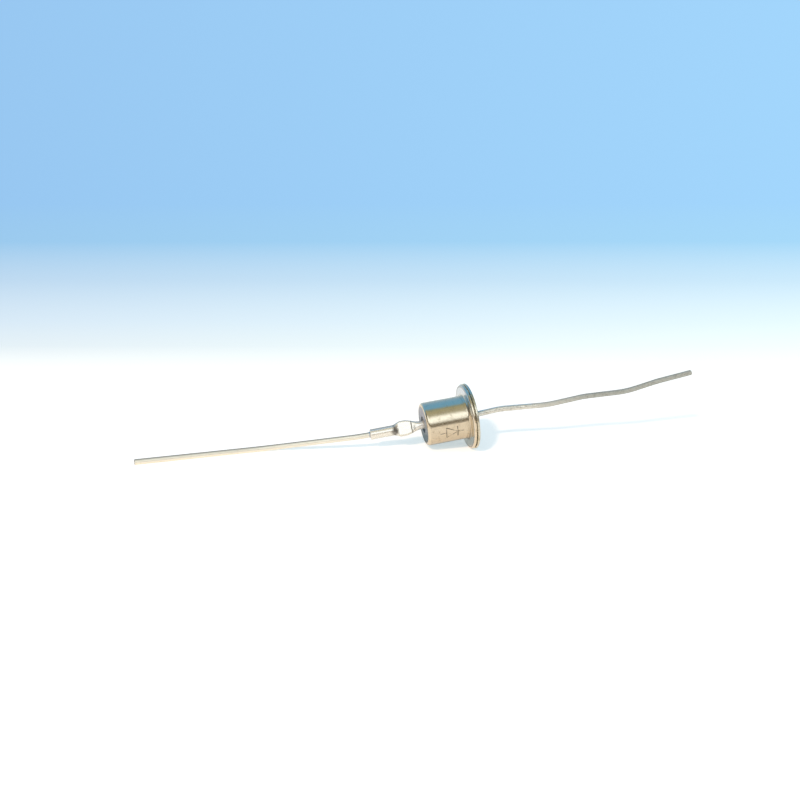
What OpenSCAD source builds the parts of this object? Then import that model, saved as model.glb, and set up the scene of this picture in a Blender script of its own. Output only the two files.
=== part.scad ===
// Flanged metal-case rectifier diode with axial wire leads.
//
// The case is a drawn cap whose flange is projection-welded to a round header.
// The anode connection leaves the cap through a glass bead: a thin tube, pinched
// flat to close it, with the outer lead soldered into its open end. The cathode
// lead is butt-welded to the back of the header, which carries the silicon pellet.
//
// Case pieces are drawn on their own axis, with Z = 0 at the weld between flange
// and header, the cap at negative Z and the header at positive Z. on_axis() then
// lays the diode down as it comes to rest: the flange's rim and the last stretch
// of the anode lead touch the surface Z = 0. All sizes are in millimetres.

/* [Case] */
// Outside diameter of the cap's flange
flange_d = 9.8; // [8.2:0.05:11.8]
// Diameter of the header disc
header_d = 9.9; // [8.2:0.05:11.9]
// Outside diameter of the cap's barrel
barrel_d = 6.5; // [5.4:0.05:7.8]
// Length of the barrel, from the flange's outer face to the end face
barrel_l = 6.45; // [5.3:0.05:7.8]
// Sheet thickness of the drawn cap
cap_wall = 0.42; // [0.34:0.01:0.5]
// Radius of the corner between barrel and end face
end_corner_r = 0.42; // [0.3:0.01:0.6]
// Radius of the fillet between flange and barrel
neck_fillet_r = 0.35; // [0.2:0.01:0.5]
// Rounding of the rims of flange and header
rim_edge_r = 0.1; // [0.05:0.01:0.14]
// Rounding of the flange's rim on the barrel side, where the sheet was sheared
flange_roll_r = 0.28; // [0.1:0.01:0.3]

/* [Header] */
// Thickness of the header disc
header_t = 0.36; // [0.3:0.01:0.46]
// Height of the weld rib, which leaves the groove seen round the rim
weld_gap = 0.1; // [0.06:0.01:0.15]
// Mean diameter of the weld rib
weld_rib_d = 8.3; // [7.9:0.05:8.7]
// Width of the weld rib
weld_rib_w = 0.5; // [0.3:0.05:0.7]
// Diameter of the raised stage inside the cap
stage_d = 4.6; // [3.9:0.05:5]
// Height of the stage above the weld plane
stage_h = 0.6; // [0.4:0.05:0.9]

/* [Glass seal] */
// Diameter of the glass bead
glass_d = 2.5; // [2.1:0.05:3]
// Length of the glass bead
glass_l = 1.15; // [0.9:0.05:1.5]
// Depth of the glass below the end face
glass_recess = 0.12; // [0.05:0.01:0.2]

/* [Anode tube] */
// Outside diameter of the tube where it passes the glass
neck_d = 1.25; // [1.05:0.05:1.5]
// Bore of the tube where it passes the glass
neck_bore_d = 0.7; // [0.65:0.05:0.8]
// Outside diameter of the tube's open end
socket_d = 1.55; // [1.35:0.05:1.9]
// Length of the straight neck outside the end face
neck_l = 0.5; // [0.4:0.05:0.8]
// Length over which the neck spreads to the pinched pad's width
spread_l = 2.4; // [2:0.05:2.9]
// Length at the pad's full width
wide_l = 0.5; // [0.3:0.05:0.8]
// Length over which the pad closes up to the round socket
close_l = 1.3; // [1.1:0.05:1.6]
// Length of the round socket that holds the lead
socket_l = 3.4; // [2.8:0.05:4.1]
// Width of the pinched pad
pad_w = 2.35; // [2:0.05:2.8]
// Thickness of the pinched pad between its flats
pad_t = 0.56; // [0.46:0.02:0.7]
// Distance from the end face to the flats that the pinching dies left
flat_from = 1.8; // [1.5:0.05:2.1]
// Length of those flats
flat_l = 2.1; // [1.7:0.05:2.4]
// Height of the step at the edge of each flat
die_step = 0.13; // [0.06:0.01:0.18]
// Turn of the pinched pad about the tube: 0 lies level, 90 stands upright
pad_roll = 62; // [0:1:90]
// Length of the tube inside the end face
tube_inside_l = 1.6; // [1.4:0.05:1.9]

/* [Leads] */
// Diameter of both outer leads
lead_d = 0.8; // [0.66:0.01:0.86]
// Running clearance of the lead in the tube's socket
lead_gap = 0.03; // [0.02:0.01:0.05]
// Length of the anode lead outside the tube
anode_lead_l = 33.6; // [28:0.1:40]
// Length of the cathode lead outside the header
cathode_lead_l = 35.3; // [32:0.1:42]
// Radius of the gentle bends in the outer leads
lead_bend_r = 14; // [8:1:20]
// Chamfer where the leads are cut off
lead_cut_c = 0.08; // [0.04:0.01:0.12]
// Diameter of the upset where the cathode lead is welded on
weld_upset_d = 1.5; // [1.2:0.05:2]

/* [Junction] */
// Diameter of the silicon pellet
pellet_d = 2.6; // [2.1:0.05:3]
// Thickness of the silicon pellet
pellet_t = 0.25; // [0.2:0.01:0.32]
// Thickness of each solder layer
solder_t = 0.06; // [0.04:0.01:0.1]
// Diameter of the lower expansion plate
lower_plate_d = 3.2; // [3:0.05:3.7]
// Thickness of the lower expansion plate
lower_plate_t = 0.4; // [0.3:0.02:0.5]
// Diameter of the upper contact plate
upper_plate_d = 1.8; // [1.5:0.05:2]
// Thickness of the upper contact plate
upper_plate_t = 0.3; // [0.24:0.02:0.4]
// Diameter of the flexible inner lead
inner_lead_d = 0.5; // [0.4:0.02:0.56]
// Sideways swing of the inner lead's S-bend
inner_swing = 0.75; // [0.5:0.05:1]

/* [Hidden] */
$fn = 96;
// Overlap of solids that are joined into one piece
JOIN = 0.05;
// Bends and collars are this much thicker than what they join, so the solids merge cleanly
PROUD = 0.005;

// ---- Resting pose ----
// Slope of the diode's axis: the cathode end points up
tilt = 8.8;
// Where the anode lead meets the surface, in front of the weld plane and to the side
touch_x = -29.74;
touch_y = 1.95;
// Direction of the anode lead's last stretch, turned from straight ahead
last_heading = 8.6;
// Straight length of anode lead between the tube and its first bend
first_straight = 1.6;
// Bends of the cathode lead: share of the lead's length, sideways, rise above the axis
CATHODE_BENDS = [[0.133, 0, 0.2], [0.347, -0.4, -0.42], [0.51, -0.8, -0.03],
                 [0.704, -1.2, -0.35], [0.847, -1.6, 0.52], [1, -2, 1.08]];

// ---- Derived sizes ----
lead_r = lead_d / 2;
// Case
roll_r = min(flange_roll_r, cap_wall - rim_edge_r - 0.01);
end_z = -(cap_wall + barrel_l);
mouth_r = barrel_d / 2 - cap_wall;
hole_r = glass_d / 2;
collar_r = hole_r + 0.8 * cap_wall;
collar_end = end_z + glass_recess + glass_l;
header_back = weld_gap + header_t;
// Anode tube: distances out from the end face
full_width_at = neck_l + spread_l;
closing_at = full_width_at + wide_l;
socket_at = closing_at + close_l;
tube_l = socket_at + socket_l;
tube_end = end_z - tube_l;
bore_stop = flat_from - 0.3;
socket_stop = socket_at - 0.25;
socket_bore_d = lead_d + 2 * lead_gap;
// Junction stack: heights below the weld plane, from the header's stage inwards
base_solder_z = -stage_h;
lower_plate_z = base_solder_z - solder_t;
lower_solder_z = lower_plate_z - lower_plate_t;
pellet_z = lower_solder_z - solder_t;
upper_solder_z = pellet_z - pellet_t;
upper_plate_z = upper_solder_z - solder_t;
foot_z = upper_plate_z - upper_plate_t;

// Height of the axis at the weld plane, so that the lower of the two rims rests on Z = 0
// (d is the rim's diameter, z and r the place and radius of its lower rounding)
function rim_drop(d, z, r) = (d / 2 - r) * cos(tilt) + r - z * sin(tilt);
axis_h = max(rim_drop(flange_d, roll_r - cap_wall, roll_r), rim_drop(header_d, weld_gap + rim_edge_r, rim_edge_r));

// A point at distance z along the diode's axis, in the resting pose
function axis_point(z) = [z * cos(tilt), 0, axis_h + z * sin(tilt)];
// A point given along the axis, sideways and above it, in the resting pose
function beside_axis(z, side, rise) = axis_point(z) + [-rise * sin(tilt), side, rise * cos(tilt)];

// ---- Lead routes: straight legs between the points, rounded at each one ----
anode_start = axis_point(end_z - socket_stop);
anode_bend = axis_point(tube_end - first_straight);
anode_touch = [touch_x, touch_y, lead_r];
anode_last_l = anode_lead_l - first_straight - norm(anode_touch - anode_bend);
anode_tip = anode_touch - anode_last_l * [cos(last_heading), sin(last_heading), 0];
ANODE_ROUTE = [anode_start, anode_bend, anode_touch, anode_tip];

CATHODE_ROUTE = concat([axis_point(header_back + JOIN)],
    [for (b = CATHODE_BENDS) beside_axis(header_back + b[0] * cathode_lead_l, b[1], b[2])]);
cathode_tip = CATHODE_ROUTE[len(CATHODE_ROUTE) - 1];

// S-bend of the inner lead, on the diode's own axis, ending in the tube's neck
inner_clear = end_z + tube_inside_l - foot_z;
INNER_ROUTE = [[0, 0, foot_z], [0, 0, foot_z + 0.15 * inner_clear],
               [0, inner_swing, foot_z + 0.4 * inner_clear],
               [0, -inner_swing / 2, foot_z + 0.7 * inner_clear],
               [0, 0, foot_z + 0.9 * inner_clear], [0, 0, end_z - bore_stop + JOIN]];

// The origin is midway between the two cut ends, on the surface
mid_x = (anode_tip[0] + cathode_tip[0]) / 2;

// ---- Vector helpers ----
function unit(v) = v / norm(v);
function leg(route, i) = unit(route[i + 1] - route[i]);
function turn(route, i) = acos(leg(route, i - 1) * leg(route, i));
// Radius of the bend at point i: r, or less where a leg is too short for it
function bend_radius(route, i, r) =
    let (shorter = min(norm(route[i + 1] - route[i]), norm(route[i] - route[i - 1])))
    min(r, 0.48 * shorter / tan(turn(route, i) / 2));
// Length that the rounded bend at point i takes from each of its legs
function bend_take(route, i, r) =
    (i == 0 || i == len(route) - 1) ? 0 : bend_radius(route, i, r) * tan(turn(route, i) / 2);

// Puts children's X, Y and Z axes along x, y and z, at point p
module frame_at(p, x, y, z) {
    multmatrix([[x[0], y[0], z[0], p[0]],
                [x[1], y[1], z[1], p[1]],
                [x[2], y[2], z[2], p[2]]]) children();
}

// Puts children's Z axis along direction z, at point p
module aim_at(p, z) {
    x = unit(cross(abs(z[2]) > 0.9 ? [1, 0, 0] : [0, 0, 1], z));
    frame_at(p, x, cross(z, x), z) children();
}

// Round wire along a route, with every bend of radius bend_r
module wire(route, d, bend_r) {
    last = len(route) - 1;
    for (i = [0 : last - 1]) {
        dir = leg(route, i);
        a = route[i] + dir * (i == 0 ? 0 : bend_take(route, i, bend_r) - JOIN);
        b = route[i + 1] - dir * (i == last - 1 ? 0 : bend_take(route, i + 1, bend_r) - JOIN);
        aim_at(a, dir) cylinder(d = d, h = norm(b - a));
    }
    for (i = [1 : last - 1]) {
        dir = leg(route, i - 1);
        inward = unit(leg(route, i) - dir * cos(turn(route, i)));
        start = route[i] - dir * bend_take(route, i, bend_r);
        r = bend_radius(route, i, bend_r);
        frame_at(start + inward * r, -inward, dir, cross(-inward, dir))
            rotate_extrude(angle = turn(route, i))
                translate([r, 0]) circle(d = d + 2 * PROUD);
    }
}

// What is cut from a wire's end at p, where the wire leaves along dir, to chamfer it
module cut_end(p, dir, d) {
    c = lead_cut_c;
    aim_at(p - dir * c, dir) difference() {
        translate([0, 0, -JOIN / 2]) cylinder(d = 2 * d, h = c + JOIN);
        translate([0, 0, -JOIN]) cylinder(d1 = d + 2 * JOIN, d2 = d - 2 * (c + JOIN), h = c + 2 * JOIN);
    }
}

// Lays children, drawn on the diode's own axis, down in the resting pose
module on_axis() {
    translate([-mid_x, 0, axis_h]) rotate([0, 90 - tilt, 0]) children();
}
// Moves children, drawn in the resting pose, to the origin
module at_rest() {
    translate([-mid_x, 0, 0]) children();
}

// ---- 2-D profile helpers, drawn as radius and height ----
module band(r0, r1, z0, z1) {
    translate([r0, z0]) square([r1 - r0, z1 - z0]);
}
// Quarter-round filler in an inside corner at (r, z), opening towards (sr, sz)
module corner_fill(r, z, sr, sz, rad) {
    difference() {
        translate([min(r, r + sr * rad), min(z, z + sz * rad)]) square(rad);
        translate([r + sr * rad, z + sz * rad]) circle(r = rad);
    }
}

module cap_profile() {
    r = barrel_d / 2;
    mouth_round = neck_fillet_r + cap_wall;
    difference() {
        union() {
            band(mouth_r, flange_d / 2, -cap_wall, 0);
            band(mouth_r, r, end_z, -cap_wall);
            band(hole_r, r, end_z, end_z + cap_wall);
            band(hole_r, collar_r, end_z, collar_end);
            corner_fill(r, -cap_wall, 1, -1, neck_fillet_r);
            corner_fill(mouth_r, end_z + cap_wall, -1, 1, end_corner_r / 2);
            corner_fill(collar_r, end_z + cap_wall, 1, 1, cap_wall / 2);
        }
        corner_fill(r, end_z, -1, 1, end_corner_r);
        corner_fill(mouth_r, 0, 1, -1, mouth_round);
        corner_fill(flange_d / 2, 0, -1, -1, rim_edge_r);
        corner_fill(flange_d / 2, -cap_wall, -1, 1, roll_r);
    }
}

module cap() {
    color("tan") on_axis() rotate_extrude() cap_profile();
}

module header() {
    color("darkkhaki") on_axis() rotate_extrude() difference() {
        union() {
            band(0, header_d / 2, weld_gap, header_back);
            band((weld_rib_d - weld_rib_w) / 2, (weld_rib_d + weld_rib_w) / 2, 0, weld_gap);
            band(0, stage_d / 2, -stage_h, weld_gap);
            corner_fill(stage_d / 2, weld_gap, 1, -1, weld_gap / 2);
        }
        corner_fill(header_d / 2, weld_gap, -1, 1, rim_edge_r);
        corner_fill(header_d / 2, header_back, -1, -1, rim_edge_r);
        corner_fill(stage_d / 2, -stage_h, -1, 1, rim_edge_r);
    }
}

// The glass wets both walls, so its outer face dips between the collar and the tube
module glass_seal() {
    span = hole_r - neck_d / 2;
    dip = 0.16 * span;
    dip_r = (span * span / 4 + dip * dip) / (2 * dip);
    color("darkslategray") on_axis() rotate_extrude() difference() {
        band(neck_d / 2, hole_r, end_z + glass_recess, collar_end);
        translate([neck_d / 2 + span / 2, end_z + glass_recess + dip - dip_r]) circle(r = dip_r);
    }
}

// ---- Pinched tube: sections lofted from round to flat and back to round ----
function ease(t) = let (c = min(max(t, 0), 1)) c * c * (3 - 2 * c);
function mix(a, b, t) = a + (b - a) * t;
// Half the tube's width at distance u out from the end face
function half_w(u) = u < closing_at
    ? mix(neck_d / 2 - PROUD, pad_w / 2, ease((u - neck_l) / spread_l))
    : mix(pad_w / 2, socket_d / 2 - PROUD, ease((u - closing_at) / close_l));
// Half its thickness there: two ramps, and a step down to the flat between the dies.
// The neck stays nearly round until shortly before the flat
function half_t(u) =
    let (near = (u - neck_l) / (flat_from - neck_l),
         far = (socket_at - u) / (socket_at - flat_from - flat_l),
         lip = pad_t / 2 + die_step)
    near < 1 ? mix(neck_d / 2 - PROUD, lip, pow(ease(near), 2))
    : far < 1 ? mix(socket_d / 2 - PROUD, lip, ease(far))
    : pad_t / 2;
SECTION_SIDES = 48;
RAMP_RINGS = 12;
step_l = 0.07;
flat_to = flat_from + flat_l;
// Distances of the rings: even along each ramp, with the die's steps between them
PINCH_RINGS = concat(
    [for (i = [0 : RAMP_RINGS]) mix(neck_l, flat_from - 0.001, i / RAMP_RINGS)],
    [for (i = [0 : RAMP_RINGS]) mix(flat_from + step_l, flat_to - step_l, i / RAMP_RINGS)],
    [for (i = [0 : RAMP_RINGS]) mix(flat_to + 0.001, socket_at, i / RAMP_RINGS)]);
// One section: two half-rounds of radius t, spread apart to reach w
function section(u) = let (w = half_w(u), t = min(half_t(u), half_w(u)))
    [for (k = [0 : SECTION_SIDES - 1]) let (a = 360 * (k + 0.5) / SECTION_SIDES)
        [t * sin(a), sign(cos(a)) * (w - t) + t * cos(a), end_z - u]];

module loft(rings) {
    n = len(rings[0]);
    m = len(rings);
    polyhedron(
        points = [for (r = rings) each r],
        faces = concat(
            [[for (k = [0 : n - 1]) k]],
            [for (j = [0 : m - 2], k = [0 : n - 1])
                [j * n + k, (j + 1) * n + k, (j + 1) * n + (k + 1) % n, j * n + (k + 1) % n]],
            [[for (k = [n - 1 : -1 : 0]) (m - 1) * n + k]]));
}

module anode_tube() {
    rim = 0.12;
    neck_from = end_z + tube_inside_l;
    color("wheat") on_axis() rotate([0, 0, pad_roll]) difference() {
        union() {
            translate([0, 0, end_z - neck_l - JOIN])
                cylinder(d = neck_d, h = tube_inside_l + neck_l + JOIN);
            loft([for (u = PINCH_RINGS) section(u)]);
            rotate_extrude() difference() {
                band(0, socket_d / 2, tube_end, end_z - socket_at + JOIN);
                corner_fill(socket_d / 2, tube_end, -1, 1, rim);
            }
        }
        translate([0, 0, end_z - bore_stop])
            cylinder(d = neck_bore_d, h = neck_from - end_z + bore_stop + JOIN);
        translate([0, 0, tube_end - JOIN])
            cylinder(d = socket_bore_d, h = tube_l - socket_stop + JOIN);
    }
}

module anode_lead() {
    last = len(ANODE_ROUTE) - 1;
    color("silver") at_rest() difference() {
        wire(ANODE_ROUTE, lead_d, lead_bend_r);
        cut_end(anode_tip, leg(ANODE_ROUTE, last - 1), lead_d);
    }
}

// Solder drawn into the gap round the lead, a little short of the tube's mouth
module socket_solder() {
    short = 0.2;
    color("lightgray") on_axis() rotate_extrude()
        band(lead_r, socket_bore_d / 2, tube_end + short, end_z - socket_stop);
}

module cathode_lead() {
    upset_l = 0.2;
    taper_l = 0.35;
    last = len(CATHODE_ROUTE) - 1;
    color("darkgray") {
        at_rest() difference() {
            wire(CATHODE_ROUTE, lead_d, lead_bend_r);
            cut_end(cathode_tip, leg(CATHODE_ROUTE, last - 1), lead_d);
        }
        on_axis() translate([0, 0, header_back]) {
            cylinder(d = weld_upset_d, h = upset_l);
            translate([0, 0, upset_l]) cylinder(d1 = weld_upset_d, d2 = lead_d, h = taper_l);
        }
    }
}

// ---- Junction, built up from the header's stage ----
module layer(z, d, t, spread) {
    on_axis() translate([0, 0, z - t]) cylinder(d1 = d, d2 = d + 2 * spread, h = t);
}
module base_solder() {
    color("slategray") layer(base_solder_z, lower_plate_d, solder_t, solder_t);
}
module lower_plate() {
    color("dimgray") layer(lower_plate_z, lower_plate_d, lower_plate_t, 0);
}
module lower_solder() {
    color("slategray") layer(lower_solder_z, pellet_d, solder_t, solder_t);
}
module silicon_pellet() {
    color("midnightblue") layer(pellet_z, pellet_d, pellet_t, 0);
}
module upper_solder() {
    color("slategray") layer(upper_solder_z, upper_plate_d, solder_t, solder_t);
}
module upper_plate() {
    color("dimgray") layer(upper_plate_z, upper_plate_d, upper_plate_t, 0);
}

foot_d = 1.8 * inner_lead_d;
foot_t = 0.15;
module inner_lead() {
    color("peru") on_axis() {
        wire(INNER_ROUTE, inner_lead_d, inner_lead_d);
        translate([0, 0, foot_z - foot_t]) cylinder(d = foot_d, h = foot_t);
    }
}
// Fillet of solder round the inner lead's foot
module contact_solder() {
    color("slategray") on_axis() translate([0, 0, foot_z - foot_t]) difference() {
        cylinder(d1 = foot_d + 0.04, d2 = foot_d + 2 * foot_t, h = foot_t);
        translate([0, 0, -JOIN]) cylinder(d = foot_d, h = foot_t + 2 * JOIN);
    }
}

cap();
header();
glass_seal();
anode_tube();
anode_lead();
socket_solder();
cathode_lead();
inner_lead();
contact_solder();
upper_plate();
upper_solder();
silicon_pellet();
lower_solder();
lower_plate();
base_solder();
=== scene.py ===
# %% [markdown]
# # A metal-case rectifier diode
#
# This lesson dresses a small flanged diode: a plated steel can welded to a round
# header, a pinched tube that leaves the can through a bead of glass, and two bent
# wire leads. The solids come ready made from the construction model. What is left
# to do is the light, the finishes, and the small things that the solids leave out:
# the solder and the beads of weld metal.
#
# Blender works in metres. Sizes of the diode are easier to read in millimetres, so
# they are written that way and multiplied by MM.

# %% Load the construction model
import math

import bmesh
import bpy
from mathutils import Matrix, Vector, noise


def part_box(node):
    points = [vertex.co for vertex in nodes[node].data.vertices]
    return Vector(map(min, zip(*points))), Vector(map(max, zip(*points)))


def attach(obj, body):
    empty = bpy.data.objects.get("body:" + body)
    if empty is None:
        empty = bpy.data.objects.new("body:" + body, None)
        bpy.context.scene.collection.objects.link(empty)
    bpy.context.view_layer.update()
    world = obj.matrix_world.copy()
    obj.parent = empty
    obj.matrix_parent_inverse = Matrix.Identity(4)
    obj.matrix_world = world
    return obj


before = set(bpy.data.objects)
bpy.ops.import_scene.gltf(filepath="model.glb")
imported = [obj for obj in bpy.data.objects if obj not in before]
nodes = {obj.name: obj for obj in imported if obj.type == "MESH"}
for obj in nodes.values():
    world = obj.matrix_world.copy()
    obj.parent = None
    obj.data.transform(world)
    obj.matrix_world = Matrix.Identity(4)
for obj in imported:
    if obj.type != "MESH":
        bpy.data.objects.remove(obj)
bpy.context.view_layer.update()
MM = 0.001
print("nodes:", sorted(nodes))

# %% [markdown]
# ## Camera
#
# The diode lies almost square to the view, with its cathode end turned a little
# away. A short lens close by gives the leads their slight perspective. The camera
# looks down by 19 degrees and leans over by about 2, so it is built from three
# axes, right, up and back, and not from a "look at" constraint, which can't lean.

# %% Build the camera
CAMERA_AT = Vector((-26.584, -99.0, 42.63)) * MM
HEADING = math.radians(12.78)
PITCH = math.radians(-18.92)
ROLL = math.radians(2.2)
FOCAL_MM = 33.0
NEAREST_SEEN = 5 * MM

level_ahead = Vector((math.sin(HEADING), math.cos(HEADING), 0))
ahead = Vector((math.sin(HEADING) * math.cos(PITCH),
                math.cos(HEADING) * math.cos(PITCH), math.sin(PITCH)))
level_right = ahead.cross(Vector((0, 0, 1))).normalized()
level_up = level_right.cross(ahead)
cam_right = level_right * math.cos(ROLL) + level_up * math.sin(ROLL)
cam_up = level_up * math.cos(ROLL) - level_right * math.sin(ROLL)

camera_data = bpy.data.cameras.new("camera")
camera_data.lens = FOCAL_MM
camera_data.clip_start = NEAREST_SEEN
camera = bpy.data.objects.new("camera", camera_data)
turn = Matrix((cam_right, cam_up, -ahead)).transposed()
camera.matrix_world = Matrix.Translation(CAMERA_AT) @ turn.to_4x4()
bpy.context.scene.collection.objects.link(camera)
bpy.context.scene.camera = camera
print("camera looks along", [round(c, 3) for c in ahead])

# %% [markdown]
# ## Helpers for node trees
#
# Each material is a tree of nodes. In the editor they would be wired up by hand.
# Here a few short helpers do it, so that a recipe further down reads like a sum:
# each adds one node, fills or links its inputs, and gives back its result.

# %% Helpers for node trees
def add_node(tree, kind, settings=None, **inputs):
    """Adds a node, sets its properties, and fills inputs by name or by number."""
    node = tree.nodes.new(kind)
    for name, value in (settings or {}).items():
        setattr(node, name, value)
    for name, value in inputs.items():
        key = int(name[1:]) if name[0] == "_" else name.replace("_", " ")
        set_input(tree, node, key, value)
    return node


def set_input(tree, node, key, value):
    """Links a socket to an input, or writes a plain value there."""
    if isinstance(value, bpy.types.NodeSocket):
        tree.links.new(value, node.inputs[key])
    else:
        node.inputs[key].default_value = value


def new_material(name):
    """A material with an empty node tree, and that tree."""
    material = bpy.data.materials.new(name)
    material.use_nodes = True
    material.node_tree.nodes.clear()
    return material, material.node_tree


print("node helpers ready")

# %% Helpers for sums with numbers and vectors
def maths(tree, operation, a, b=0.0, clamp=False):
    """One Math node."""
    settings = {"operation": operation, "use_clamp": clamp}
    return add_node(tree, "ShaderNodeMath", settings, _0=a, _1=b).outputs[0]


def vector_maths(tree, operation, a, b=(0.0, 0.0, 0.0), result="Vector"):
    """One Vector Math node. The result is called "Value" where it is a single number."""
    node = add_node(tree, "ShaderNodeVectorMath", {"operation": operation}, _0=a, _1=b)
    return node.outputs[result]


def share_along(tree, vector, way):
    """How far a vector reaches along a direction of length 1."""
    return vector_maths(tree, "DOT_PRODUCT", vector, way, "Value")


def remap(tree, value, low, high, to_low=0.0, to_high=1.0):
    """A clamped Map Range."""
    node = add_node(tree, "ShaderNodeMapRange", {"clamp": True},
                    Value=value, From_Min=low, From_Max=high, To_Min=to_low, To_Max=to_high)
    return node.outputs["Result"]


def band(tree, value, rise, fall, most=1.0):
    """A mask that rises over one range of the value and falls again over another."""
    return maths(tree, "MULTIPLY", remap(tree, value, *rise), remap(tree, value, *fall, most, 0.0))


print("number helpers ready")

# %% Helpers for colours
# A Mix node has separate sockets for numbers, vectors and colours. A colour mix
# takes its share and its two colours at these places.
MIX_SHARE, MIX_FIRST, MIX_SECOND, MIX_RESULT = 0, 6, 7, 2


def mix_colours(tree, share, first, second, blend="MIX"):
    """A colour mix."""
    settings = {"data_type": "RGBA", "blend_type": blend, "clamp_factor": True}
    node = add_node(tree, "ShaderNodeMix", settings)
    set_input(tree, node, MIX_SHARE, share)
    for key, colour in ((MIX_FIRST, first), (MIX_SECOND, second)):
        plain = not isinstance(colour, bpy.types.NodeSocket)
        set_input(tree, node, key, (*colour, 1.0) if plain else colour)
    return node.outputs[MIX_RESULT]


def ramp(tree, fac, stops):
    """A colour ramp through stops of (position, colour)."""
    node = add_node(tree, "ShaderNodeValToRGB", _0=fac)
    elements = node.color_ramp.elements
    while len(elements) < len(stops):
        elements.new(0.5)
    for element, (position, colour) in zip(elements, stops):
        element.position = position
        element.color = (*colour, 1.0)
    return node.outputs["Color"]


print("colour helpers ready")

# %% [markdown]
# ## Floor
#
# The floor is one large white sheet. Behind the diode it runs into a pale blue,
# like a sheet of paper that curves up under a clear sky. The change of colour is a
# ramp over the distance along the heading, in the floor's own Object coordinates.
# The camera leans, and straight bands across the floor would look tilted. So the
# distance is squeezed on the right and stretched on the left, and the bands lie
# level. A bent sheet of mesh would do too, but then each bend needs its own shading.
#
# Camera rays get a little extra light from the sheet, and mirrored rays get half of
# it, so the sheet reads as white while its shadows stay.

# %% Directions over the floor
SIDE_SLANT = 0.55
LEFT_TINT, RIGHT_TINT = (0.94, 0.93, 0.95), (1.10, 1.10, 1.06)


def heading_parts(tree, vector):
    """A vector's share to the right of the heading, its share along it, and its height."""
    height = add_node(tree, "ShaderNodeSeparateXYZ", Vector=vector).outputs["Z"]
    return share_along(tree, vector, level_right), share_along(tree, vector, level_ahead), height


def paler_to_right(tree, colour, right, forward):
    """The backdrop is lit from the right, so it is a little paler there."""
    slant = maths(tree, "DIVIDE", right, maths(tree, "ABSOLUTE", forward))
    tint = mix_colours(tree, remap(tree, slant, -SIDE_SLANT, SIDE_SLANT), LEFT_TINT, RIGHT_TINT)
    return mix_colours(tree, 1.0, colour, tint, "MULTIPLY")


print("the backdrop's tint runs over slants of", -SIDE_SLANT, "to", SIDE_SLANT)

# %% Lay the floor
FLOOR_REACH = 3.0

floor_mesh = bpy.data.meshes.new("floor")
corners = [(x * FLOOR_REACH, y * FLOOR_REACH, 0) for x, y in ((-1, -1), (1, -1), (1, 1), (-1, 1))]
floor_mesh.from_pydata(corners, [], [(0, 1, 2, 3)])
floor = bpy.data.objects.new("floor", floor_mesh)
bpy.context.scene.collection.objects.link(floor)
print("floor is", 2 * FLOOR_REACH, "m square")

# %% Measure the sheet along the heading
LEAST_LEAN = 0.1

paper, tree = new_material("white_sheet")
place = add_node(tree, "ShaderNodeTexCoord").outputs["Object"]
from_foot = vector_maths(tree, "SUBTRACT", place, (CAMERA_AT.x, CAMERA_AT.y, 0))
right, forward, _ = heading_parts(tree, from_foot)
lean = maths(tree, "ADD", maths(tree, "MULTIPLY", right, math.tan(ROLL) / CAMERA_AT.z), 1.0)
level = maths(tree, "DIVIDE", forward, maths(tree, "MAXIMUM", lean, LEAST_LEAN))
foot_along = CAMERA_AT.dot(level_ahead)
along = maths(tree, "ADD", level, foot_along)
print("the camera's foot is", round(foot_along, 3), "m along the heading")

# %% Paint the sheet
SHEET_WHITE = (0.93, 0.93, 0.93)
SHEET_LIFT, MIRRORED_LIFT = (0.37, 0.42, 0.43), 0.5
BLUE_FROM, BLUE_DEPTH = 0.02, 0.5
CHANGE_FROM, CHANGE_TO = 0.025, 0.06
FAR_BLUE = (0.333, 0.616, 0.930)
FAR_STOPS = [
    (0.0, (1.0, 1.0, 1.0)), (0.054, (0.90, 0.99, 0.99)), (0.13, (0.745, 0.896, 0.99)),
    (0.254, (0.558, 0.760, 0.930)), (0.48, (0.352, 0.638, 0.905)), (1.0, FAR_BLUE)]

far_share = maths(tree, "DIVIDE", maths(tree, "SUBTRACT", along, BLUE_FROM), BLUE_DEPTH, clamp=True)
far_colour = paler_to_right(tree, ramp(tree, far_share, FAR_STOPS), right, forward)
paper_surface = add_node(tree, "ShaderNodeBsdfDiffuse", Color=(*SHEET_WHITE, 1.0))
rays = add_node(tree, "ShaderNodeLightPath").outputs
bent = maths(tree, "MAXIMUM", rays["Is Glossy Ray"], rays["Is Transmission Ray"])
seen_plainly = maths(tree, "MAXIMUM", rays["Is Camera Ray"], bent)
lift_share = maths(tree, "MAXIMUM", rays["Is Camera Ray"],
                   maths(tree, "MULTIPLY", seen_plainly, MIRRORED_LIFT))
lift = add_node(tree, "ShaderNodeEmission", Color=(*SHEET_LIFT, 1.0), Strength=lift_share)
near = add_node(tree, "ShaderNodeAddShader", _0=paper_surface.outputs[0], _1=lift.outputs[0])
far = add_node(tree, "ShaderNodeEmission", Color=far_colour)
changeover = maths(tree, "MULTIPLY", remap(tree, along, CHANGE_FROM, CHANGE_TO), seen_plainly)
both = add_node(tree, "ShaderNodeMixShader", _0=changeover, _1=near.outputs[0], _2=far.outputs[0])
add_node(tree, "ShaderNodeOutputMaterial", Surface=both.outputs[0])
floor_mesh.materials.append(paper)
print("the sheet turns blue over", BLUE_DEPTH, "m")

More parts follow.
